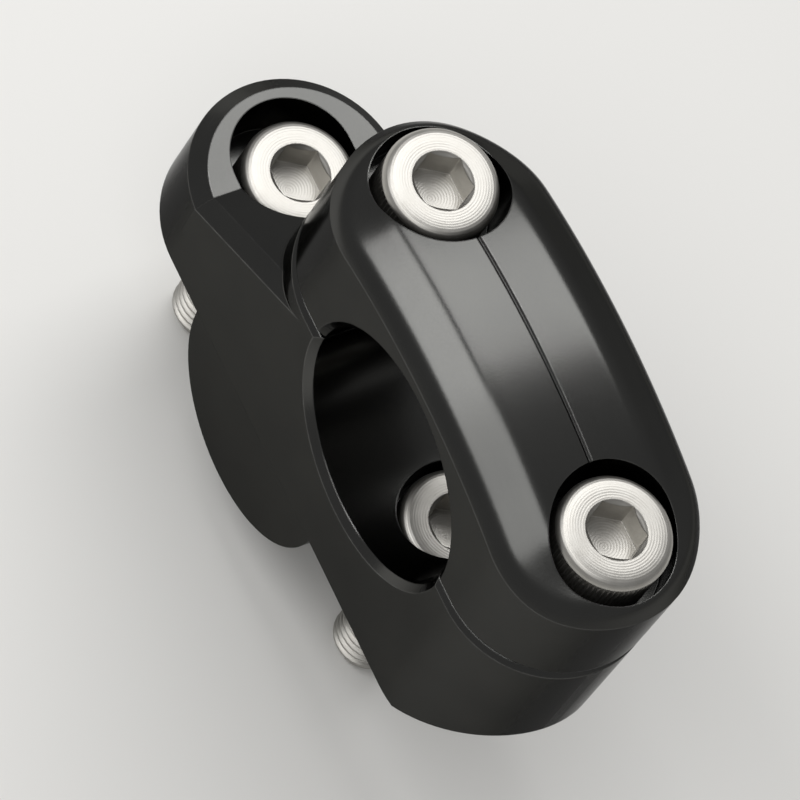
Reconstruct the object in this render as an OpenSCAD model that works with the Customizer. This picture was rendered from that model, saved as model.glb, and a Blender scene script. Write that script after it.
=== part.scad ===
// Offset handlebar riser for a motorcycle.
// A bored cradle and its arched cap hold the handlebar. The riser stands in the
// motorcycle's own lower holder on a half round saddle, and two bolts hold it there.
// X runs along the handlebar, Y points forwards and Z is up. The origin is on the
// handlebar's axis, halfway through the clamp. All sizes are in millimetres.

/* [Handlebar clamp] */
// Diameter of the handlebar that the clamp holds
bar_d = 28.6; // [22:0.1:32]
// Width of the riser and its cap along the handlebar
body_w = 25; // [22:0.5:34]
// Distance between the two clamp screws
clamp_pitch = 42; // [40:0.5:52]
// How far the round ends reach past the clamp screws
clamp_end = 9; // [9:0.5:14]
// Gap between cap and cradle once the handlebar is clamped
clamp_gap = 0.6; // [0.2:0.1:1]
// Chamfer at both mouths of the handlebar bore
mouth_chamfer = 0.8; // [0.2:0.1:1.5]

/* [Cap] */
// Height of the cap's ridge above the handlebar's axis
cap_rise = 21; // [18:0.5:26]
// Radius of the arch that the top of the cap follows
arch_r = 80; // [60:1:200]
// How much the roof falls from its ridge to the shoulders
roof_fall = 0.4; // [0.1:0.1:1.5]
// Half width of the roof between the shoulders
roof_half_w = 6.9; // [4:0.1:9]
// Height that the shoulders drop to the cap's side walls
shoulder_fall = 3.1; // [1:0.1:4]
// Width of the narrow steep bevel under each shoulder
edge_bevel = 0.9; // [0.3:0.1:2]
// Height of that steep bevel
edge_fall = 1.5; // [0.3:0.1:3]
// Chamfer on the cap's round ends
end_chamfer = 1.6; // [0.5:0.1:2.5]

/* [Riser] */
// Height that the handlebar is raised by
rise = 25; // [22:0.5:60]
// Distance that the handlebar is moved back by
setback = 15; // [14:0.5:17]
// How far the round front of the base reaches past its bolt
base_end = 12; // [11:0.5:15]
// Height of the front boss above the base plane
boss_h = 13.5; // [10:0.5:16]
// Distance from the front bolt forwards to the foot of the ramp
ramp_foot = 0.5; // [0:0.1:2]
// Chamfer along the top edge of the boss and the ramp
boss_chamfer = 1.8; // [0.5:0.1:2.5]
// Chamfer along the lower edge of the riser
foot_chamfer = 0.8; // [0.2:0.1:1.5]
// Chamfer along the edges where cap and cradle meet
seam_chamfer = 0.6; // [0.2:0.1:1]
// Diameter of the half round saddle under the base
saddle_d = 28.6; // [22:0.1:32]
// Height of the rear end of the cradle above the base plane
tail_rise = 8; // [2:0.5:10]

/* [Screws] */
// Thread diameter of all four screws
thread_d = 8; // [6:0.5:8]
// Diameter of the screw heads
head_d = 13; // [10:0.5:13]
// Height of the heads of the clamp screws and the front base bolt
full_head_h = 8; // [6:0.5:9]
// Height of the low head on the rear base bolt, under the handlebar
low_head_h = 5; // [4:0.5:6]
// Length of the clamp screws under the head
clamp_screw_l = 25; // [22:1:28]
// Length of the base bolts under the head
base_bolt_l = 30; // [20:1:45]
// Diameter of the plain neck of the base bolts, inside the riser
neck_d = 7.2; // [5.5:0.1:7.6]
// Width across flats of the hexagon sockets
socket_af = 6; // [4:0.5:6]
// Depth of the hexagon sockets
socket_depth = 4; // [2.5:0.1:4]
// Chamfer on the rim of each head
head_chamfer = 0.7; // [0.2:0.1:1.2]
// Chamfer at the tip of each thread
tip_chamfer = 1; // [0.3:0.1:1.5]
// Height of the seats of the clamp screws' heads above the handlebar's axis
clamp_seat = 10.3; // [9:0.1:11]
// Thickness of the floor that the front base bolt's head presses on
base_floor = 5.5; // [3:0.5:6.5]

/* [Fits] */
// Diameter of the cap's pockets for the clamp screws' heads
cap_pocket_d = 15; // [14:0.1:16]
// Width of the base's pockets for the base bolts' heads
base_pocket_d = 14.4; // [14:0.1:16]
// How much longer the front pocket of the base is than it is wide
pocket_reach = 1.8; // [0:0.1:2.5]
// Room between the handlebar and the head of the rear base bolt
bar_room = 0.2; // [0.1:0.1:1]
// Room between a plain hole and the screw through it, on the radius
hole_play = 0.25; // [0.1:0.05:0.5]
// Room between a screw and its tapped hole, on the radius
thread_play = 0.04; // [0.02:0.01:0.1]
// Depth of the tapped holes past the screws' tips
tap_spare = 3; // [1:0.5:4]
// Widening at the mouth of each tapped hole
tap_chamfer = 0.6; // [0.2:0.1:1]

/* [Hidden] */
$fn = 96;

bar_r = bar_d / 2;
half_w = body_w / 2;
clamp_y = clamp_pitch / 2;
// End of the cradle and the cap, and the centre of its round
end_y = clamp_y + clamp_end;
round_y = end_y - half_w;
// Faces where the cradle and the cap look at each other
seam_z = clamp_gap / 2;
// Base plane, and the same for the base's own bolts and ends
base_z = -rise;
front_y = setback + clamp_y;
rear_y = setback - clamp_y;
nose_y = front_y + base_end;
heel_y = rear_y - base_end;
boss_z = base_z + boss_h;
foot_y = front_y + ramp_foot;
// Seats of the base bolts' heads. The rear one stays clear of the handlebar.
front_seat = base_z + base_floor;
rear_seat = min(front_seat, -bar_r - bar_room - low_head_h);
// The ramp climbs from the boss to where the cradle's round begins
ramp_len = foot_y - round_y;
ramp_up = -seam_z - boss_z;
ramp_angle = atan2(ramp_up, ramp_len);
thread_r = thread_d / 2;
black = "#202024";
steel = "#d4d4d2";

// Bar with round ends along Y, with chamfers below and above
module round_bar(y0, y1, z0, z1, below, above) {
    low = half_w - below;
    high = half_w - above;
    side = [[0, z0], [low, z0], [half_w, z0 + below],
            [half_w, z1 - above], [high, z1], [0, z1]];
    span = y1 - y0 - body_w;
    for (y = [y0 + half_w, y1 - half_w])
        translate([0, y, 0])
            rotate_extrude()
                polygon(side);
    translate([0, y1 - half_w, 0])
        rotate([90, 0, 0])
            linear_extrude(span)
                union() {
                    polygon(side);
                    mirror([1, 0])
                        polygon(side);
                }
}

// Bore for the handlebar with a chamfer at each mouth
module bar_bore() {
    rotate([0, 90, 0])
        cylinder(r = bar_r, h = 2 * body_w, center = true);
    for (side = [0, 1])
        mirror([side, 0, 0])
            translate([half_w - mouth_chamfer, 0, 0])
                rotate([0, 90, 0])
                    cylinder(r1 = bar_r, r2 = bar_r + 2 * mouth_chamfer, h = 2 * mouth_chamfer);
}

// Sloping top of the base, from the boss up to the cradle.
// Its edges carry the boss's chamfer on along the slope.
module ramp() {
    slope_len = ramp_len / cos(ramp_angle);
    deep = boss_h * 3;
    crest = half_w - boss_chamfer;
    brim = half_w + 2 * boss_chamfer;
    drop = 3 * boss_chamfer * cos(ramp_angle);
    section = [[-brim, -deep], [brim, -deep], [brim, -drop],
               [crest, 0], [-crest, 0], [-brim, -drop]];
    intersection() {
        translate([0, foot_y, boss_z])
            rotate([-ramp_angle, 0, 0])
                translate([0, boss_h, 0])
                    rotate([90, 0, 0])
                        linear_extrude(slope_len + 2 * boss_h)
                            polygon(section);
        translate([-half_w, round_y, base_z + boss_h / 2])
            cube([body_w, ramp_len, rise - boss_h / 2 - seam_z]);
    }
}

// Upright column that the cradle is cut from, its tail sloping up at the back
module column() {
    tail_start = heel_y - 1;
    tail_len = end_y + tail_start;
    difference() {
        round_bar(-end_y, end_y, base_z, -seam_z, foot_chamfer, seam_chamfer);
        translate([0, tail_start, base_z])
            rotate([-atan2(tail_rise, tail_len), 0, 0])
                translate([-body_w, -3 * tail_len, -2 * rise])
                    cube([2 * body_w, 3 * tail_len, 2 * rise]);
    }
}

// Half round saddle that fills the place of the handlebar in the lower holder
module saddle() {
    difference() {
        translate([0, setback, base_z])
            rotate([0, 90, 0])
                cylinder(d = saddle_d, h = body_w - 2 * foot_chamfer, center = true);
        translate([-body_w, setback - saddle_d, base_z + foot_chamfer])
            cube([2 * body_w, 2 * saddle_d, saddle_d]);
    }
}

// Pocket and plain hole for one base bolt. The pocket may reach forwards past its head.
module base_hole(y, seat, reach) {
    translate([0, y, seat])
        cylinder(d = base_pocket_d, h = 2 * rise);
    if (reach > 0) {
        translate([0, y + reach, seat])
            cylinder(d = base_pocket_d, h = 2 * rise);
        translate([-base_pocket_d / 2, y, seat])
            cube([base_pocket_d, reach, 2 * rise]);
    }
    translate([0, y, base_z - 1])
        cylinder(r = thread_r + hole_play, h = seat - base_z + 2);
}

// Blind tapped hole for one clamp screw, with the cone that the drill leaves
module tapped_hole(y) {
    hole_r = thread_r + thread_play;
    depth = clamp_screw_l - clamp_seat + tap_spare;
    translate([0, y, -depth])
        cylinder(r = hole_r, h = depth + 1);
    translate([0, y, -depth - hole_r / 2])
        cylinder(r1 = 0.01, r2 = hole_r, h = hole_r / 2);
    translate([0, y, -seam_z - tap_chamfer])
        cylinder(r1 = hole_r, r2 = hole_r + 2 * tap_chamfer, h = 2 * tap_chamfer);
}

module riser_body() {
    color(black)
        difference() {
            union() {
                round_bar(heel_y, nose_y, base_z, boss_z, foot_chamfer, boss_chamfer);
                ramp();
                column();
                saddle();
            }
            bar_bore();
            base_hole(front_y, front_seat, pocket_reach);
            base_hole(rear_y, rear_seat, 0);
            tapped_hole(clamp_y);
            tapped_hole(-clamp_y);
        }
}

// Wheel whose rim has the section of the cap's roof
module roof() {
    reach = half_w + edge_bevel;
    rim = arch_r - shoulder_fall;
    section = [[0, -reach], [rim - 2 * edge_fall, -reach],
               [rim, edge_bevel - half_w], [arch_r - roof_fall, -roof_half_w],
               [arch_r, 0],
               [arch_r - roof_fall, roof_half_w], [rim, half_w - edge_bevel],
               [rim - 2 * edge_fall, reach], [0, reach]];
    translate([0, 0, cap_rise - arch_r])
        rotate([0, 90, 0])
            rotate_extrude($fn = 180)
                polygon(section);
}

// Cone that chamfers one round end. It leans with the arch, so that the chamfer
// is widest at the tip and fades out where the straight sides begin.
module end_cone() {
    fall_side = arch_r - sqrt(arch_r * arch_r - round_y * round_y);
    fall_tip = arch_r - sqrt(arch_r * arch_r - end_y * end_y);
    side_z = cap_rise - shoulder_fall - edge_fall - fall_side;
    tip_z = cap_rise - fall_tip - end_chamfer;
    lean = atan2(side_z - tip_z, half_w);
    tall = half_w / cos(lean);
    translate([0, round_y, side_z])
        rotate([-lean, 0, 0])
            translate([0, 0, -2 * tall])
                cylinder(r1 = 3 * tall, r2 = 0.01, h = 3 * tall);
}

// Pocket and plain hole for one clamp screw
module clamp_hole(y) {
    translate([0, y, clamp_seat])
        cylinder(d = cap_pocket_d, h = cap_rise);
    translate([0, y, 0])
        cylinder(r = thread_r + hole_play, h = cap_rise);
}

module top_clamp() {
    color(black)
        difference() {
            intersection() {
                round_bar(-end_y, end_y, seam_z, cap_rise + 1, seam_chamfer, 0.2);
                roof();
                union() {
                    end_cone();
                    mirror([0, 1, 0])
                        end_cone();
                    translate([-body_w, -round_y, 0])
                        cube([2 * body_w, 2 * round_y, 2 * cap_rise]);
                }
            }
            bar_bore();
            clamp_hole(clamp_y);
            clamp_hole(-clamp_y);
        }
}

// Socket head screw along Z, its head standing on Z = 0. A plain neck of that length
// may lie between head and thread, and is thinner.
module socket_screw(head_h, length, neck) {
    head_r = head_d / 2;
    neck_r = neck > 0 ? neck_d / 2 : thread_r;
    difference() {
        rotate_extrude()
            polygon([[0, -length], [thread_r - tip_chamfer, -length],
                     [thread_r, tip_chamfer - length], [thread_r, -neck],
                     [neck_r, -neck], [neck_r, 0],
                     [head_r, 0], [head_r, head_h - head_chamfer],
                     [head_r - head_chamfer, head_h], [0, head_h]]);
        translate([0, 0, head_h - socket_depth])
            cylinder(d = socket_af / cos(30), h = socket_depth + 1, $fn = 6);
    }
}

module clamp_screw(y) {
    color(steel)
        translate([0, y, clamp_seat])
            socket_screw(full_head_h, clamp_screw_l, 0);
}

module base_bolt(y, seat, head_h) {
    color(steel)
        translate([0, y, seat])
            socket_screw(head_h, base_bolt_l, seat - base_z);
}

module clamp_screw_front() { clamp_screw(clamp_y); }

module clamp_screw_rear() { clamp_screw(-clamp_y); }

module base_bolt_front() { base_bolt(front_y, front_seat, full_head_h); }

module base_bolt_rear() { base_bolt(rear_y, rear_seat, low_head_h); }

riser_body();
top_clamp();
clamp_screw_front();
clamp_screw_rear();
base_bolt_front();
base_bolt_rear();
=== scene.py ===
# %% [markdown]
# # Offset handlebar riser
# A handlebar riser lifts the bar of a motorcycle and moves it towards the rider.
# This one has a bored cradle, an arched cap and two bolts that go down into the
# motorcycle's own lower holder. Its solids come from the CAD model and give the
# places. This script gives the pieces their rounded edges, knurls, threads and
# finishes, and then sets up the light and the camera.

# %% Load the fixed frame
import math

import bmesh
import bpy
from mathutils import Matrix, Vector


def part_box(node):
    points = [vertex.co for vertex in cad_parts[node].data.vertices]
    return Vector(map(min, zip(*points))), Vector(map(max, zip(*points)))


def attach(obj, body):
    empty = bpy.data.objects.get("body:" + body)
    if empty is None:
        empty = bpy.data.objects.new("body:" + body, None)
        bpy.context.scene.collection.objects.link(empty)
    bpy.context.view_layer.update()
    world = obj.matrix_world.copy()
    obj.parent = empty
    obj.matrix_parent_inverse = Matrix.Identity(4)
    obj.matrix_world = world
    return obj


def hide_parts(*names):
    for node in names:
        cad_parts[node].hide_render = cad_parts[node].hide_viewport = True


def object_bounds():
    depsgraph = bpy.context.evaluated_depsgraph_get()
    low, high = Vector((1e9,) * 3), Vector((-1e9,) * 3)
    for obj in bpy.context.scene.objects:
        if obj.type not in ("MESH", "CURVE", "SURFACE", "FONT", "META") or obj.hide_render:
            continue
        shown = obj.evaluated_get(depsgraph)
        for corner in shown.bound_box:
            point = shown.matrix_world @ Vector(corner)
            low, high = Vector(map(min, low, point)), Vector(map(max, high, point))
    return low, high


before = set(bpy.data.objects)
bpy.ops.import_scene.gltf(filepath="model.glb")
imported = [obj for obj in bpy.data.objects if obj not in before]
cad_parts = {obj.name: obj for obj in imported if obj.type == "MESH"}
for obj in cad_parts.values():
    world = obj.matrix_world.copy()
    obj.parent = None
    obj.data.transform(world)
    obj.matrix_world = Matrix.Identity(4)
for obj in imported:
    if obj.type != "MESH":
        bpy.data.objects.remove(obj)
cad_low, cad_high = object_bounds()
scene = bpy.context.scene
scene.view_settings.view_transform = "Standard"
print("solids:", ", ".join(sorted(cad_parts)))
print("box in mm:", [round(1000 * v, 2) for v in (*cad_low, *cad_high)])

# %% [markdown]
# ## Sizes
# The pieces are drawn in millimetres, as a workshop drawing gives them, and made
# metres at the end. The sizes that a node's box can give are read from it, so that
# the pieces sit where the solids are.

# %% Sizes in millimetres
def box_mm(node):
    low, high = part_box(node)
    return low * 1000, high * 1000


cap_low, cap_high = box_mm("top_clamp")
HALF_W = cap_high.x
END_Y = cap_high.y
ROUND_Y = END_Y - HALF_W
SEAM_Z = cap_low.z
CREST_Z = cap_high.z
BORE_R = 14.3
ARCH_R = 80.0
print("half width", round(HALF_W, 2), "end", round(END_Y, 2), "crest", round(CREST_Z, 2))

# %% [markdown]
# ## Helpers for the shapes
# Most of a clamp's shapes are turned or milled. A turned shape is half a section
# that is spun round an axis. A milled pocket or bore is cut away with a second
# shape, as the cutter does on the real machine.

# %% Helpers that make, cut and place a piece
def piece_from(name, bm):
    """A bmesh becomes a piece, with its doubles merged and its faces outwards."""
    bmesh.ops.remove_doubles(bm, verts=bm.verts[:], dist=1e-4)
    bmesh.ops.recalc_face_normals(bm, faces=bm.faces[:])
    mesh = bpy.data.meshes.new(name)
    bm.to_mesh(mesh)
    bm.free()
    piece = bpy.data.objects.new(name, mesh)
    scene.collection.objects.link(piece)
    return piece


def spun(name, section, steps, axis="Z", place=(0, 0, 0)):
    """Half a section, as (radius, height) pairs, spun into a closed shape."""
    bm = bmesh.new()
    points = [bm.verts.new((radius, 0, height)) for radius, height in section]
    lines = [bm.edges.new(pair) for pair in zip(points, points[1:])]
    bmesh.ops.spin(bm, geom=points + lines, cent=(0, 0, 0), axis=(0, 0, 1),
                   angle=2 * math.pi, steps=steps, use_merge=True, use_duplicate=False)
    if axis == "X":
        turn = Matrix.Rotation(math.pi / 2, 3, "Y")
        bmesh.ops.rotate(bm, verts=bm.verts[:], matrix=turn)
    bmesh.ops.translate(bm, verts=bm.verts[:], vec=place)
    return piece_from(name, bm)


def cut(piece, cutter, operation="DIFFERENCE"):
    """The cutter's shape is taken from the piece, and the cutter goes."""
    modifier = piece.modifiers.new("cut", "BOOLEAN")
    modifier.object = cutter
    modifier.operation = operation
    modifier.solver = "EXACT"
    graph = bpy.context.evaluated_depsgraph_get()
    made = bpy.data.meshes.new_from_object(piece.evaluated_get(graph))
    piece.modifiers.clear()
    old, piece.data = piece.data, made
    bpy.data.meshes.remove(old)
    bpy.data.objects.remove(cutter)


def soften(piece, degrees):
    """Faces that meet at less than this angle are shaded as one surface."""
    for face in piece.data.polygons:
        face.use_smooth = True
    piece.data.set_sharp_from_angle(angle=math.radians(degrees))


def finish_piece(piece, node, material):
    """From millimetres to metres, and in the place of its CAD node."""
    piece.data.transform(Matrix.Scale(0.001, 4))
    piece.data.materials.clear()
    piece.data.materials.append(material)
    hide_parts(node)
    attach(piece, "root")
    print(piece.name, len(piece.data.polygons), "faces")

# %% [markdown]
# Smooth shading guesses a round face's direction from its neighbours, and leaves
# streaks where slim triangles meet. But most round faces here were turned or bored
# round a known axis, so each of their corners can be given its true direction.

# %% True direction of one corner
UP, ACROSS = Vector((0, 0, 1)), Vector((1, 0, 0))
NOT_TURNED = 180.0
WORST_OFF = 8.0
NEAR_AXIS, NEAR_RADIUS = 0.5, 0.02
LEAST_RADIAL = 0.2


def turned_normal(flat, place, axis, centre, radius):
    """Direction at a place on a face turned round that axis, and by how many degrees
    the flat face is off it. A place on the axis has no direction, nor has a face that
    lies square to it, and where a radius is given, the place has to lie at it."""
    out = place - centre
    out -= axis * out.dot(axis)
    radial = flat - axis * flat.dot(axis)
    if out.length < NEAR_AXIS or radial.length < LEAST_RADIAL:
        return flat, NOT_TURNED
    if radius and abs(out.length - radius) > NEAR_RADIUS:
        return flat, NOT_TURNED
    out.normalize()
    if out.dot(radial) < 0:
        out.negate()
    off = math.degrees(out.angle(radial))
    return (out * radial.length + axis * flat.dot(axis)).normalized(), off


print("a face counts as turned when it is less than", WORST_OFF, "degrees off")

# %% [markdown]
# A face takes the axis that fits it best. One that fits none was milled flat, or
# keeps the shading that its piece already has.

# %% Give turned faces their true directions
def true_normals(piece, turned, smooth_rest):
    """Corners of turned faces get their true direction. turned lists axis, centre
    and radius, or no radius for cones. The rest keeps its shading, or is flat."""
    mesh = piece.data
    normals = [c.vector.copy() for c in mesh.corner_normals]
    round_faces = 0
    for face in mesh.polygons:
        flat = face.normal.copy()
        corners = list(face.loop_indices)
        made = [normals[i] if smooth_rest else flat for i in corners]
        worst = WORST_OFF
        for axis, centre, radius in turned:
            tried = [turned_normal(flat, mesh.vertices[i].co, axis, centre, radius)
                     for i in face.vertices]
            off = max(t[1] for t in tried)
            if off < worst:
                made, worst = [t[0] for t in tried], off
        round_faces += worst < WORST_OFF
        for corner, normal in zip(corners, made):
            normals[corner] = normal
    for face in mesh.polygons:
        face.use_smooth = True
    mesh.normals_split_custom_set(normals)
    print(piece.name, len(mesh.polygons), "faces,", round_faces, "of them turned")

# %% [markdown]
# ## Helpers for the finishes
# Colours are written as the sRGB values that a paint chart gives, and the shader
# needs them linear. One function adds a node with its settings and links.

# %% Helpers for colours and nodes
def linear(code):
    """'#rrggbb' in sRGB as the linear colour that a shader reads."""
    parts = [int(code[i:i + 2], 16) / 255 for i in (1, 3, 5)]
    made = [c / 12.92 if c <= 0.04045 else ((c + 0.055) / 1.055) ** 2.4 for c in parts]
    return (*made, 1)


def add(tree, kind, inputs=None, **settings):
    """Adds one node. An input is a value, or the output socket that feeds it."""
    node = tree.nodes.new(kind)
    for name, value in settings.items():
        setattr(node, name, value)
    for name, value in (inputs or {}).items():
        if isinstance(value, bpy.types.NodeSocket):
            tree.links.new(value, node.inputs[name])
        else:
            node.inputs[name].default_value = value
    return node


def empty_material(name):
    material = bpy.data.materials.new(name)
    material.use_nodes = True
    material.node_tree.nodes.clear()
    return material, material.node_tree


def per_mm(size):
    """Noise scale for a feature of that size in mm, on coordinates in metres."""
    return 1000 / size

# %% [markdown]
# ## Black anodised aluminium
# The riser and its cap are milled from aluminium, tumbled, dyed and anodised. To the
# eye that is a black with a silky shine: what it mirrors keeps its shape, but its
# borders are soft. A plain glossy paint would turn bright where it is seen at a low
# angle. The dyed skin stays dark there, so the metal gets a darker Specular Tint,
# and only a thin coat adds its gloss. Handling rubs the dye off the edges, where a
# thin grey line shows. A Bevel node finds the edges, because its normal leaves the
# face's own normal only near one. An Ambient Occlusion node tells the outer edges
# from the inner ones, which nothing rubs. In fine grooves and inner corners it also
# darkens the colour towards black, as painted shade.

# %% The black finish
def black_anodised():
    material, tree = empty_material("black_anodised_aluminium_milled")
    place = add(tree, "ShaderNodeTexCoord").outputs["Object"]
    flat = add(tree, "ShaderNodeNewGeometry").outputs["Normal"]
    rounded = add(tree, "ShaderNodeBevel", {"Radius": 0.00022},
                  samples=6).outputs["Normal"]
    same = add(tree, "ShaderNodeVectorMath", {0: flat, 1: rounded},
               operation="DOT_PRODUCT").outputs["Value"]
    edge = add(tree, "ShaderNodeMapRange", {
        "Value": same, "From Min": 0.995, "From Max": 0.86,
        "To Min": 0.0, "To Max": 1.0}).outputs["Result"]
    open_air = add(tree, "ShaderNodeAmbientOcclusion", {"Distance": 0.0006},
                   samples=6, only_local=True).outputs["AO"]
    outer = add(tree, "ShaderNodeMapRange", {
        "Value": open_air, "From Min": 0.86, "From Max": 0.97,
        "To Min": 0.0, "To Max": 1.0}).outputs["Result"]
    # Rubbed spots along an edge are some 2 mm long
    spots = add(tree, "ShaderNodeTexNoise", {
        "Vector": place, "Scale": per_mm(2.0), "Detail": 3.0,
        "Roughness": 0.6}).outputs["Fac"]
    broken = add(tree, "ShaderNodeMapRange", {
        "Value": spots, "From Min": 0.38, "From Max": 0.66,
        "To Min": 0.12, "To Max": 0.62}).outputs["Result"]
    rubbed = add(tree, "ShaderNodeMath", {0: edge, 1: broken},
                 operation="MULTIPLY").outputs["Value"]
    wear = add(tree, "ShaderNodeMath", {0: rubbed, 1: outer},
               operation="MULTIPLY").outputs["Value"]
    # The dye takes a little unevenly over some 9 mm
    dye = add(tree, "ShaderNodeTexNoise", {
        "Vector": place, "Scale": per_mm(9.0), "Detail": 2.0}).outputs["Fac"]
    tint = add(tree, "ShaderNodeMix", {
        "Factor": dye, "A": linear("#474746"), "B": linear("#4f4f4d")}, data_type="RGBA")
    # Painted shade: the Ambient Occlusion node darkens fine grooves and inner corners
    # towards black
    hollow_shade = add(tree, "ShaderNodeMapRange", {
        "Value": open_air, "From Min": 0.45, "From Max": 0.85,
        "To Min": 0.9, "To Max": 0.0}).outputs["Result"]
    # The dyed colour with the painted shade of the grooves and inner corners mixed in
    shaded_tint = add(tree, "ShaderNodeMix", {
        "Factor": hollow_shade, "A": tint.outputs["Result"],
        "B": linear("#0c0c0c")}, data_type="RGBA")
    colour = add(tree, "ShaderNodeMix", {
        "Factor": wear, "A": shaded_tint.outputs["Result"],
        "B": linear("#8f8f8d")}, data_type="RGBA")
    # The tumbling leaves a grain of about 0.06 mm, drawn 0.2 mm wide so that it shows
    grain = add(tree, "ShaderNodeTexNoise", {
        "Vector": place, "Scale": per_mm(0.2), "Detail": 2.0,
        "Roughness": 0.5}).outputs["Fac"]
    rough = add(tree, "ShaderNodeMapRange", {
        "Value": grain, "To Min": 0.17, "To Max": 0.26}).outputs["Result"]
    bump = add(tree, "ShaderNodeBump", {
        "Strength": 0.10, "Distance": 0.00004, "Height": grain,
        "Normal": rounded}).outputs["Normal"]
    skin = add(tree, "ShaderNodeBsdfPrincipled", {
        "Base Color": colour.outputs["Result"], "Metallic": 1.0, "Roughness": rough,
        "Specular Tint": (0.22, 0.22, 0.22, 1), "Normal": bump,
        "Coat Weight": 0.15, "Coat Roughness": 0.12, "Coat Normal": bump})
    add(tree, "ShaderNodeOutputMaterial", {"Surface": skin.outputs["BSDF"]})
    return material


BLACK = black_anodised()
print("finish:", BLACK.name)

# %% [markdown]
# ## Bright stainless steel
# The screws are forged and then turned on their faces. Turning leaves fine rings
# round the axis of each screw, which streak the highlight on its head. The rings
# need the distance from the screw's own axis, so each screw carries its distances
# as an attribute, and one finish serves all four.

# %% The steel finish
def bright_stainless():
    material, tree = empty_material("bright_stainless_steel_turned")
    place = add(tree, "ShaderNodeAttribute", attribute_name="from_axis").outputs["Vector"]
    rounded = add(tree, "ShaderNodeBevel", {"Radius": 0.0002},
                  samples=6).outputs["Normal"]
    # Turning rings are 0.1 mm apart, and are drawn 0.3 mm apart so that they show
    rings = add(tree, "ShaderNodeTexWave", {
        "Vector": place, "Scale": math.tau / 20 / 0.0003, "Distortion": 0.6,
        "Detail": 2.0, "Detail Scale": 2.0},
        wave_type="RINGS", rings_direction="Z").outputs["Fac"]
    # The colour and the polish change a little over some 1.6 mm
    haze = add(tree, "ShaderNodeTexNoise", {
        "Vector": place, "Scale": per_mm(1.6), "Detail": 3.0,
        "Roughness": 0.6}).outputs["Fac"]
    tint = add(tree, "ShaderNodeMix", {
        "Factor": haze, "A": linear("#a5a29c"), "B": linear("#c0beb9")}, data_type="RGBA")
    rough = add(tree, "ShaderNodeMapRange", {
        "Value": haze, "To Min": 0.36, "To Max": 0.46}).outputs["Result"]
    bump = add(tree, "ShaderNodeBump", {
        "Strength": 0.18, "Distance": 0.00004, "Height": rings,
        "Normal": rounded}).outputs["Normal"]
    steel = add(tree, "ShaderNodeBsdfPrincipled", {
        "Base Color": tint.outputs["Result"], "Metallic": 1.0, "Roughness": rough,
        "Normal": bump})
    add(tree, "ShaderNodeOutputMaterial", {"Surface": steel.outputs["BSDF"]})
    return material


STEEL = bright_stainless()
print("finish:", STEEL.name)

# %% [markdown]
# ## The cap
# The cap is an arch over the bar with a nearly flat roof, and its shoulders are
# rounded all the way round. It could be swept along the arch and then cut to its
# outline, but the shoulders would then stop dead at the round ends. So it starts
# as a flat plate with the outline of the cap. Rings are set in from the edge, and
# every point is then lifted to the height that the arch and the shoulders give it.

# %% How the cap's top falls from its ridge
ROOF_W, SHOULDER_W = 6.9, 4.7
BROW_AT = 11.6
ROOF_SLOPE, SHOULDER_SLOPE, BROW_SLOPE = 0.4 / ROOF_W, 2.7 / SHOULDER_W, 1.5 / 0.9
SHOULDER_TURN, BROW_TURN = 1.1, 0.75
GROOVE_DEPTH, GROOVE_HALF_W = 0.28, 0.3


def bend(away, at, before, after, half):
    """What a line gains by turning from slope before to slope after, near away = at.
    The turn is rounded from half a width before that place to half a width past it."""
    past = away - (at - half)
    if past <= 0:
        return 0.0
    if past >= 2 * half:
        return (after - before) * (away - at)
    return (after - before) * past * past / (4 * half)


def shoulder_fall(away):
    """How far the top has fallen from its ridge, at that distance from the middle."""
    groove = GROOVE_DEPTH * max(1 - away / GROOVE_HALF_W, 0)
    return (ROOF_SLOPE * away
            + bend(away, ROOF_W, ROOF_SLOPE, SHOULDER_SLOPE, SHOULDER_TURN)
            + bend(away, BROW_AT, SHOULDER_SLOPE, BROW_SLOPE, BROW_TURN) + groove)


for away in (0.0, 3.0, ROOF_W, 9.0, BROW_AT, HALF_W):
    print("fall at", round(away, 2), "mm:", round(shoulder_fall(away), 2))

# %% [markdown]
# The round ends have no shoulders at their tips: there the roof runs flat up to a
# short bevel. So the fall is blended between the two forms, by how far to the side
# of the middle a place lies. The ridge's own arch is part of one large circle.

# %% Height of the cap's top
TIP_AT, TIP_SLOPE, TIP_TURN = 11.1, 1.25, 0.7


def eased(share):
    return share * share * (3 - 2 * share)


def cap_top(x, y):
    """Height of the cap's top at a place. Towards its tips the shoulders get lower."""
    past = max(abs(y) - ROUND_Y, 0.0)
    away = math.hypot(x, past)
    side = abs(x) / away if past > 0 and away > 0 else 1.0
    arch = CREST_Z - ARCH_R + math.sqrt(ARCH_R ** 2 - y * y)
    tip_fall = ROOF_SLOPE * abs(x) + bend(away, TIP_AT, 0.0, TIP_SLOPE, TIP_TURN)
    share = eased(side ** 1.5)
    return arch - share * shoulder_fall(away) - (1 - share) * tip_fall


print("top at the middle", round(cap_top(0.0, 0.0), 2), "and at the tip",
      round(cap_top(0.0, END_Y), 2), "mm")

# %% [markdown]
# The plate's outline is a circle whose two halves are pulled apart. The long sides
# are divided, so that the arch has points to bend at, and each ring is set in from
# the one before. The rings are closest where the shoulders turn. The last ring
# has no width, so its two sides merge into the fine line that the cutters of the
# two roof faces leave between them.

# %% Rings and outline of the plate
AWAY = [12.3, 12.1, 11.9, 11.65, 11.4, 11.1, 10.7, 10.2, 9.6, 9.0, 8.4, 7.9, 7.5, 7.1,
        6.7, 6.3, 5.9, 5.5, 4.6, 3.6, 2.6, 1.6, 0.8, 0.3, 0.12, 0.0]
ROUND_STEPS, SIDE_CUTS = 96, 39


def set_away(point, away):
    """Moves a point square to the outline, to that distance from the middle line."""
    past = max(abs(point.co.y) - ROUND_Y, 0.0) * (1 if point.co.y > 0 else -1)
    now = math.hypot(point.co.x, past)
    middle_y = point.co.y - past
    point.co.x *= away / now
    point.co.y = middle_y + past * away / now


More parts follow.
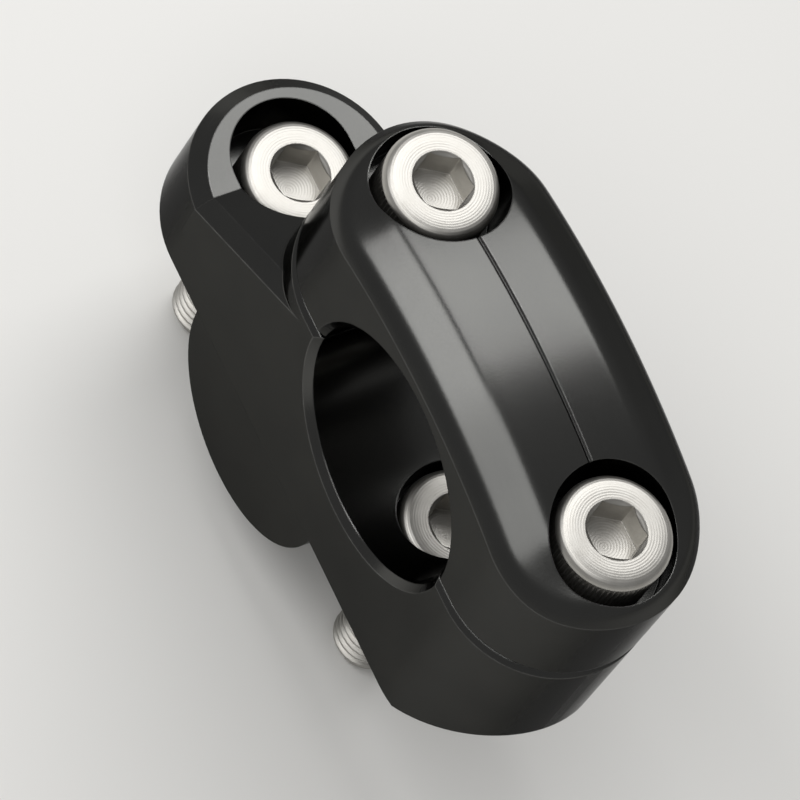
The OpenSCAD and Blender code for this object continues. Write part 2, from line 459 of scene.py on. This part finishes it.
def next_ring(bm, loop, away=None, height=None):
    """Extrudes a loop of edges and places the new loop."""
    made = bmesh.ops.extrude_edge_only(bm, edges=loop)["geom"]
    for point in [g for g in made if isinstance(g, bmesh.types.BMVert)]:
        if away is not None:
            set_away(point, away)
        if height is not None:
            point.co.z = height
    return [g for g in made if isinstance(g, bmesh.types.BMEdge)
            and all(v in made for v in g.verts)]


def outline(bm):
    """Circle of the cap's width, pulled apart along Y, its long sides divided."""
    bmesh.ops.create_circle(bm, segments=ROUND_STEPS, radius=HALF_W, cap_ends=False,
                            matrix=Matrix.Rotation(math.pi / ROUND_STEPS, 4, "Z"))
    for side in (1, -1):
        half = [v for v in bm.verts if v.co.y * side > 0]
        bmesh.ops.translate(bm, verts=half, vec=(0, side * ROUND_Y, 0))
    sides = [e for e in bm.edges if e.calc_length() > ROUND_Y]
    bmesh.ops.subdivide_edges(bm, edges=sides, cuts=SIDE_CUTS)
    return bm.edges[:]


print(len(AWAY), "rings of", ROUND_STEPS + 2 * SIDE_CUTS, "points")

# %% [markdown]
# Once the rings have their heights, the rim is extruded down to make the walls. The
# walls stop short of the seam and turn in, which is the small chamfer of the seam.

# %% Make the cap's plate, lift it and give it its walls
SEAM_CHAMFER = 0.6


def cap_blank():
    bm = bmesh.new()
    loop = outline(bm)
    for away in AWAY:
        loop = next_ring(bm, loop, away)
    bmesh.ops.remove_doubles(bm, verts=bm.verts[:], dist=1e-4)
    for point in bm.verts:
        point.co.z = cap_top(point.co.x, point.co.y)
    rim = [e for e in bm.edges if e.is_boundary]
    wall = next_ring(bm, rim, height=SEAM_Z + SEAM_CHAMFER)
    foot = next_ring(bm, wall, away=HALF_W - SEAM_CHAMFER, height=SEAM_Z)
    bmesh.ops.holes_fill(bm, edges=foot)
    return piece_from("cap", bm)


cap = cap_blank()
print("blank cap:", len(cap.data.polygons), "faces, top at",
      round(max(v.co.z for v in cap.data.vertices), 2), "mm")

# %% [markdown]
# Three cutters finish the cap: one for the bar, with a cone at each mouth, and one
# for each screw, with a wide pocket for the head over a plain hole. Each of them
# reaches well past the metal, so that no skin is left at a mouth.

# %% Cutters for the bore and the screw holes
SCREW_Y = 21.0
CAP_SEAT = 10.3
CAP_POCKET_R, CAP_HOLE_R = 7.5, 4.25
MOUTH_CHAMFER = 0.8
SPARE = 4
BELOW_CAP, ABOVE_CAP = -4, 30


def bar_cutter():
    flat = HALF_W - MOUTH_CHAMFER
    wide, end = BORE_R + SPARE, flat + SPARE
    return spun("bar_cutter", [(0, -end), (wide, -end), (BORE_R, -flat),
                               (BORE_R, flat), (wide, end), (0, end)], 128, axis="X")


def hole_cutter(y, seat, pocket_r, hole_r, low, high):
    return spun("hole_cutter", [(0, low), (hole_r, low), (hole_r, seat), (pocket_r, seat),
                                (pocket_r, high), (0, high)], 96, place=(0, y, 0))


print("seat", CAP_SEAT, "mm above the bar's axis, pocket", round(CREST_Z - CAP_SEAT, 2),
      "mm under the ridge")

# %% [markdown]
# After the cuts, the bore and the holes are turned faces. The outside keeps smooth
# shading, because its rings are close enough for that.

# %% Cut the cap
cut(cap, bar_cutter())
for side in (1, -1):
    cut(cap, hole_cutter(side * SCREW_Y, CAP_SEAT, CAP_POCKET_R, CAP_HOLE_R,
                         BELOW_CAP, ABOVE_CAP))
soften(cap, 28)
cap_turned = [(ACROSS, Vector((0, 0, 0)), BORE_R)]
for side in (1, -1):
    middle = Vector((0, side * SCREW_Y, 0))
    cap_turned += [(UP, middle, CAP_POCKET_R), (UP, middle, CAP_HOLE_R)]
true_normals(cap, cap_turned, smooth_rest=True)
finish_piece(cap, "top_clamp", BLACK)

# %% [markdown]
# ## The riser
# The riser's own form is all turned and milled faces, and the CAD solid has every
# one of them. So its mesh is copied and its loose triangles are merged. Triangles
# that lie in one plane become one face again, and the turned faces get their true
# directions from the axes of the base, the cradle, the saddle and the holes.

# %% Copy the riser's solid
SETBACK, BASE_Z = 15.0, -25.0
FRONT_Y, REAR_Y = SETBACK + SCREW_Y, SETBACK - SCREW_Y
BASE_END = 12.0
POCKET_REACH = 1.8
RISER_TURNED = [(ACROSS, Vector((0, 0, 0)), None),
                (ACROSS, Vector((0, SETBACK, BASE_Z)), BORE_R)]
RISER_TURNED += [(UP, Vector((0, y, 0)), None) for y in (
    FRONT_Y + BASE_END - HALF_W, REAR_Y - BASE_END + HALF_W, ROUND_Y, -ROUND_Y,
    FRONT_Y, FRONT_Y + POCKET_REACH, REAR_Y, SCREW_Y, -SCREW_Y)]


def copy_of(node, name):
    """The node's mesh in millimetres, its loose triangles merged into whole faces."""
    bm = bmesh.new()
    bm.from_mesh(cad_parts[node].data)
    bmesh.ops.scale(bm, verts=bm.verts[:], vec=(1000, 1000, 1000))
    bmesh.ops.remove_doubles(bm, verts=bm.verts[:], dist=2e-3)
    bmesh.ops.dissolve_limit(bm, angle_limit=math.radians(0.4), verts=bm.verts[:],
                             edges=bm.edges[:], use_dissolve_boundaries=False)
    return piece_from(name, bm)


riser = copy_of("riser_body", "riser")
true_normals(riser, RISER_TURNED, smooth_rest=False)
finish_piece(riser, "riser_body", BLACK)

# %% [markdown]
# ## The screws
# All four are M8 socket head screws. A head is turned with a knurled rim to grip
# while it is spun in by hand, and a hexagon is pressed into it. The thread is
# rolled: one ridge that winds round the shank at 1.25 mm a turn. The head is a
# spun section whose rim is then pushed in at every second step. The ridge is a
# small section that is spun and moved down at once, which is what a screw is.

# %% Turned head and shank with its knurl
HEAD_R = 6.5
CREST_R, ROOT_R = 3.98, 3.32
KNURL_STEPS, KNURL_DEPTH = 144, 0.3


def head_and_shank(head_h, length, neck, neck_r):
    """Turned form with its knurl, the head's seat at height 0."""
    section = [(0, -length), (ROOT_R - 0.5, -length), (ROOT_R, -length + 0.6),
               (ROOT_R, -neck - 0.4), (neck_r, -neck), (neck_r, -0.3), (neck_r + 0.3, 0),
               (HEAD_R - 0.35, 0), (HEAD_R - 0.05, 0.25),
               (HEAD_R, 0.5), (HEAD_R, head_h - 1.3), (HEAD_R, head_h - 1.05),
               (HEAD_R - 0.1, head_h - 0.7), (HEAD_R - 0.32, head_h - 0.34),
               (HEAD_R - 0.66, head_h - 0.1), (HEAD_R - 1.05, head_h), (4.4, head_h),
               (0, head_h)]
    screw = spun("screw", section, KNURL_STEPS)
    for point in screw.data.vertices:
        x, y, z = point.co
        step = round(math.atan2(y, x) / math.tau * KNURL_STEPS)
        on_rim = 0.4 < z < head_h - 1.2 and math.hypot(x, y) > HEAD_R - 0.02
        if on_rim and step % 2:
            point.co.x *= 1 - KNURL_DEPTH / HEAD_R
            point.co.y *= 1 - KNURL_DEPTH / HEAD_R
    return screw


print("knurl of", KNURL_STEPS // 2, "teeth,",
      round(2 * math.tau * HEAD_R / KNURL_STEPS, 2), "mm apart")

# %% [markdown]
# The socket is pressed by a six sided punch into a drilled hole, so it has flat
# sides, a cone at its floor and a small round chamfer at its mouth. Three cutters in
# turn leave the same.

# %% Hexagon socket
HEXAGON_R = 3.464
DRILL_R, DRILL_TOP, DRILL_END, DRILL_POINT = 2.75, 3.0, 3.9, 4.7


def press_socket(screw, head_h):
    hexagon = bmesh.new()
    bmesh.ops.create_cone(hexagon, cap_ends=True, segments=6, radius1=HEXAGON_R,
                          radius2=HEXAGON_R, depth=8,
                          matrix=Matrix.Translation((0, 0, head_h)))
    cut(screw, piece_from("hexagon", hexagon))
    cut(screw, spun("drill_point", [
        (0, head_h - DRILL_POINT), (DRILL_R, head_h - DRILL_END),
        (DRILL_R, head_h - DRILL_TOP), (0, head_h - DRILL_TOP)], 48))
    cut(screw, spun("mouth", [(0, head_h - 0.5), (3.0, head_h - 0.5),
                              (3.95, head_h + 0.45), (0, head_h + 0.45)], 96))


print("socket", round(math.sqrt(3) * HEXAGON_R, 2), "mm across its flats")

# %% [markdown]
# The ridge starts in full under the neck and would end as a blunt stump. On a real
# screw it runs out slowly, so its crest is pulled in near both ends.

# %% Thread
PITCH = 1.25
RIDGE_FOOT = ROOT_R - 0.12
STEPS_A_TURN = 28


def thread_ridge(length, neck):
    """The thread's ridge, wound down the shank, fading out at both ends."""
    bm = bmesh.new()
    top, bottom = -neck - 0.9, -length + 0.55
    turns = (top - bottom) / PITCH
    steps = int(turns * STEPS_A_TURN)
    section = [(RIDGE_FOOT, -0.52), (CREST_R, -0.09), (CREST_R, 0.09), (RIDGE_FOOT, 0.52)]
    points = [bm.verts.new((radius, 0, top + height)) for radius, height in section]
    face = bm.faces.new(points)
    bmesh.ops.spin(bm, geom=[face, *points, *face.edges], cent=(0, 0, 0), axis=(0, 0, -1),
                   dvec=(0, 0, (bottom - top) / steps), angle=turns * math.tau,
                   steps=steps, use_merge=False, use_duplicate=False)
    for point in bm.verts:
        radius = math.hypot(point.co.x, point.co.y)
        under_neck = (top + 0.6 - point.co.z) / 1.2
        over_tip = (point.co.z + length - 0.02) / 1.4
        share = max(min(under_neck, over_tip, 1.0), 0.05)
        allowed = RIDGE_FOOT + (CREST_R - RIDGE_FOOT) * share
        if radius > allowed:
            point.co.x *= allowed / radius
            point.co.y *= allowed / radius
        point.co.z = max(point.co.z, -length)
    return piece_from("ridge", bm)


def joined(first, second):
    """Two closed shapes in one mesh."""
    bm = bmesh.new()
    bm.from_mesh(first.data)
    bm.from_mesh(second.data)
    bm.to_mesh(first.data)
    bm.free()
    bpy.data.objects.remove(second)
    return first


print("pitch", PITCH, "mm, ridge", round(CREST_R - ROOT_R, 2), "mm high")

# %% [markdown]
# Each screw takes its place and its length from its node's box. Only the rear base
# bolt has a low head, because it lies under the bar. The base bolts have a long plain
# neck, and their threads begin where they leave the riser. Before a screw is moved
# to its place, its points keep their distances from its own axis, for the finish.

# %% Set each screw in its place
FULL_HEAD, LOW_HEAD = 8.0, 5.0
SHORT_NECK = (1.2, 3.9)
LONG_NECK = (5.5, 3.6)


def screw_in_place(name, node, head_h, slot, neck, neck_r):
    low, high = box_mm(node)
    middle = (low + high) / 2
    seat = high.z - head_h
    length = seat - low.z
    screw = head_and_shank(head_h, length, neck, neck_r)
    press_socket(screw, head_h)
    screw = joined(screw, thread_ridge(length, neck))
    screw.name = screw.data.name = name
    places = [tuple(v.co / 1000) for v in screw.data.vertices]
    held = screw.data.attributes.new("from_axis", "FLOAT_VECTOR", "POINT")
    for point, place in zip(held.data, places):
        point.vector = place
    screw.data.transform(Matrix.Translation((middle.x, middle.y, seat)))
    soften(screw, 32)
    finish_piece(screw, node, STEEL)
    print(name, "seat at", round(seat, 2), "length", round(length, 2))


screw_in_place("screw_front", "clamp_screw_front", FULL_HEAD, "screws", *SHORT_NECK)
screw_in_place("screw_rear", "clamp_screw_rear", FULL_HEAD, "screws", *SHORT_NECK)
screw_in_place("bolt_front", "base_bolt_front", FULL_HEAD, "bolts", *LONG_NECK)
screw_in_place("bolt_rear", "base_bolt_rear", LOW_HEAD, "bolts", *LONG_NECK)

# %% [markdown]
# ## Floor, light and camera
# The part stands on the tips of its two bolts, on a plain pale floor. The floor is
# matt, so that it takes a soft shadow and mirrors nothing. Plain grey surroundings
# fill what the lamps leave dark.

# %% Floor and surroundings
SURROUNDINGS = 0.30


def pale_floor():
    bm = bmesh.new()
    bmesh.ops.create_grid(bm, x_segments=1, y_segments=1, size=6,
                          matrix=Matrix.Translation((0, 0, cad_low.z)))
    mesh = bpy.data.meshes.new("floor")
    bm.to_mesh(mesh)
    bm.free()
    floor = bpy.data.objects.new("floor", mesh)
    scene.collection.objects.link(floor)
    material, tree = empty_material("matt_painted_floor")
    paint = add(tree, "ShaderNodeBsdfPrincipled", {"Base Color": linear("#e6e5e2"),
                                                   "Roughness": 0.9})
    add(tree, "ShaderNodeOutputMaterial", {"Surface": paint.outputs["BSDF"]})
    mesh.materials.append(material)


def surroundings(level):
    world = bpy.data.worlds.new("plain_studio")
    world.use_nodes = True
    world.node_tree.nodes.clear()
    glow = add(world.node_tree, "ShaderNodeBackground",
               {"Color": (level, level, level, 1)})
    add(world.node_tree, "ShaderNodeOutputWorld", {"Surface": glow.outputs["Background"]})
    scene.world = world


pale_floor()
surroundings(SURROUNDINGS)
print("floor at", round(1000 * cad_low.z, 2), "mm")

# %% [markdown]
# Black shiny metal shows what it mirrors more than its own colour, so the lamps are
# large soft boxes, and their edges are what the eye sees as form. All three hang
# level. The right one is where the roof's front half mirrors it and its rear half
# doesn't. The left shoulder mirrors the left one, and its rear part the dimmer rear
# left one.

# %% Soft boxes
LAMP_HEIGHT = 0.52


def soft_box(name, x, y, glow):
    """Level area lamp above the part, from x[0] to x[1] and y[0] to y[1] in metres.
    Its power is worked out so that glow is the brightness that a mirror would show."""
    lamp = bpy.data.lights.new(name, "AREA")
    lamp.shape = "RECTANGLE"
    lamp.size, lamp.size_y = x[1] - x[0], y[1] - y[0]
    lamp.energy = glow * math.pi * lamp.size * lamp.size_y
    box = bpy.data.objects.new(name, lamp)
    scene.collection.objects.link(box)
    box.location = ((x[0] + x[1]) / 2, (y[0] + y[1]) / 2, LAMP_HEIGHT)
    box.visible_camera = False
    print(name, "power", round(lamp.energy, 2), "W")


soft_box("right_box", (-0.11, 0.57), (0.115, 0.43), 3.7)
soft_box("left_box", (-0.46, -0.20), (0.09, 0.50), 4.2)
soft_box("rear_left_box", (-0.46, -0.14), (-0.30, 0.09), 2.5)

# %% [markdown]
# The camera stands where the photographer stood, above and to the left of the
# part, and looks at its middle. A longer lens brings the part up to fill the frame,
# and keeps the same perspective, because only the place of a camera changes that.

# %% Camera
PHOTOGRAPHER = (-0.4341, -0.2348, 0.8747)
PART_MIDDLE = (0.0, 0.0090, -0.0143)
PICTURE_RIGHT = (0.8259, -0.4421, 0.3499)
LONG_LENS = 425


def camera_at(place, target, right, lens):
    """Camera at a place in metres that looks at target, with its picture level along
    the direction right."""
    data = bpy.data.cameras.new("camera")
    data.lens, data.sensor_width = lens, 36
    data.clip_start, data.clip_end = 0.05, 20
    camera = bpy.data.objects.new("camera", data)
    scene.collection.objects.link(camera)
    back = (Vector(place) - Vector(target)).normalized()
    across = Vector(right)
    across = (across - back * across.dot(back)).normalized()
    turn = Matrix((across, back.cross(across), back)).transposed()
    camera.matrix_world = Matrix.Translation(place) @ turn.to_4x4()
    scene.camera = camera
    return camera


camera = camera_at(PHOTOGRAPHER, PART_MIDDLE, PICTURE_RIGHT, LONG_LENS)
print("lens", camera.data.lens, "mm")
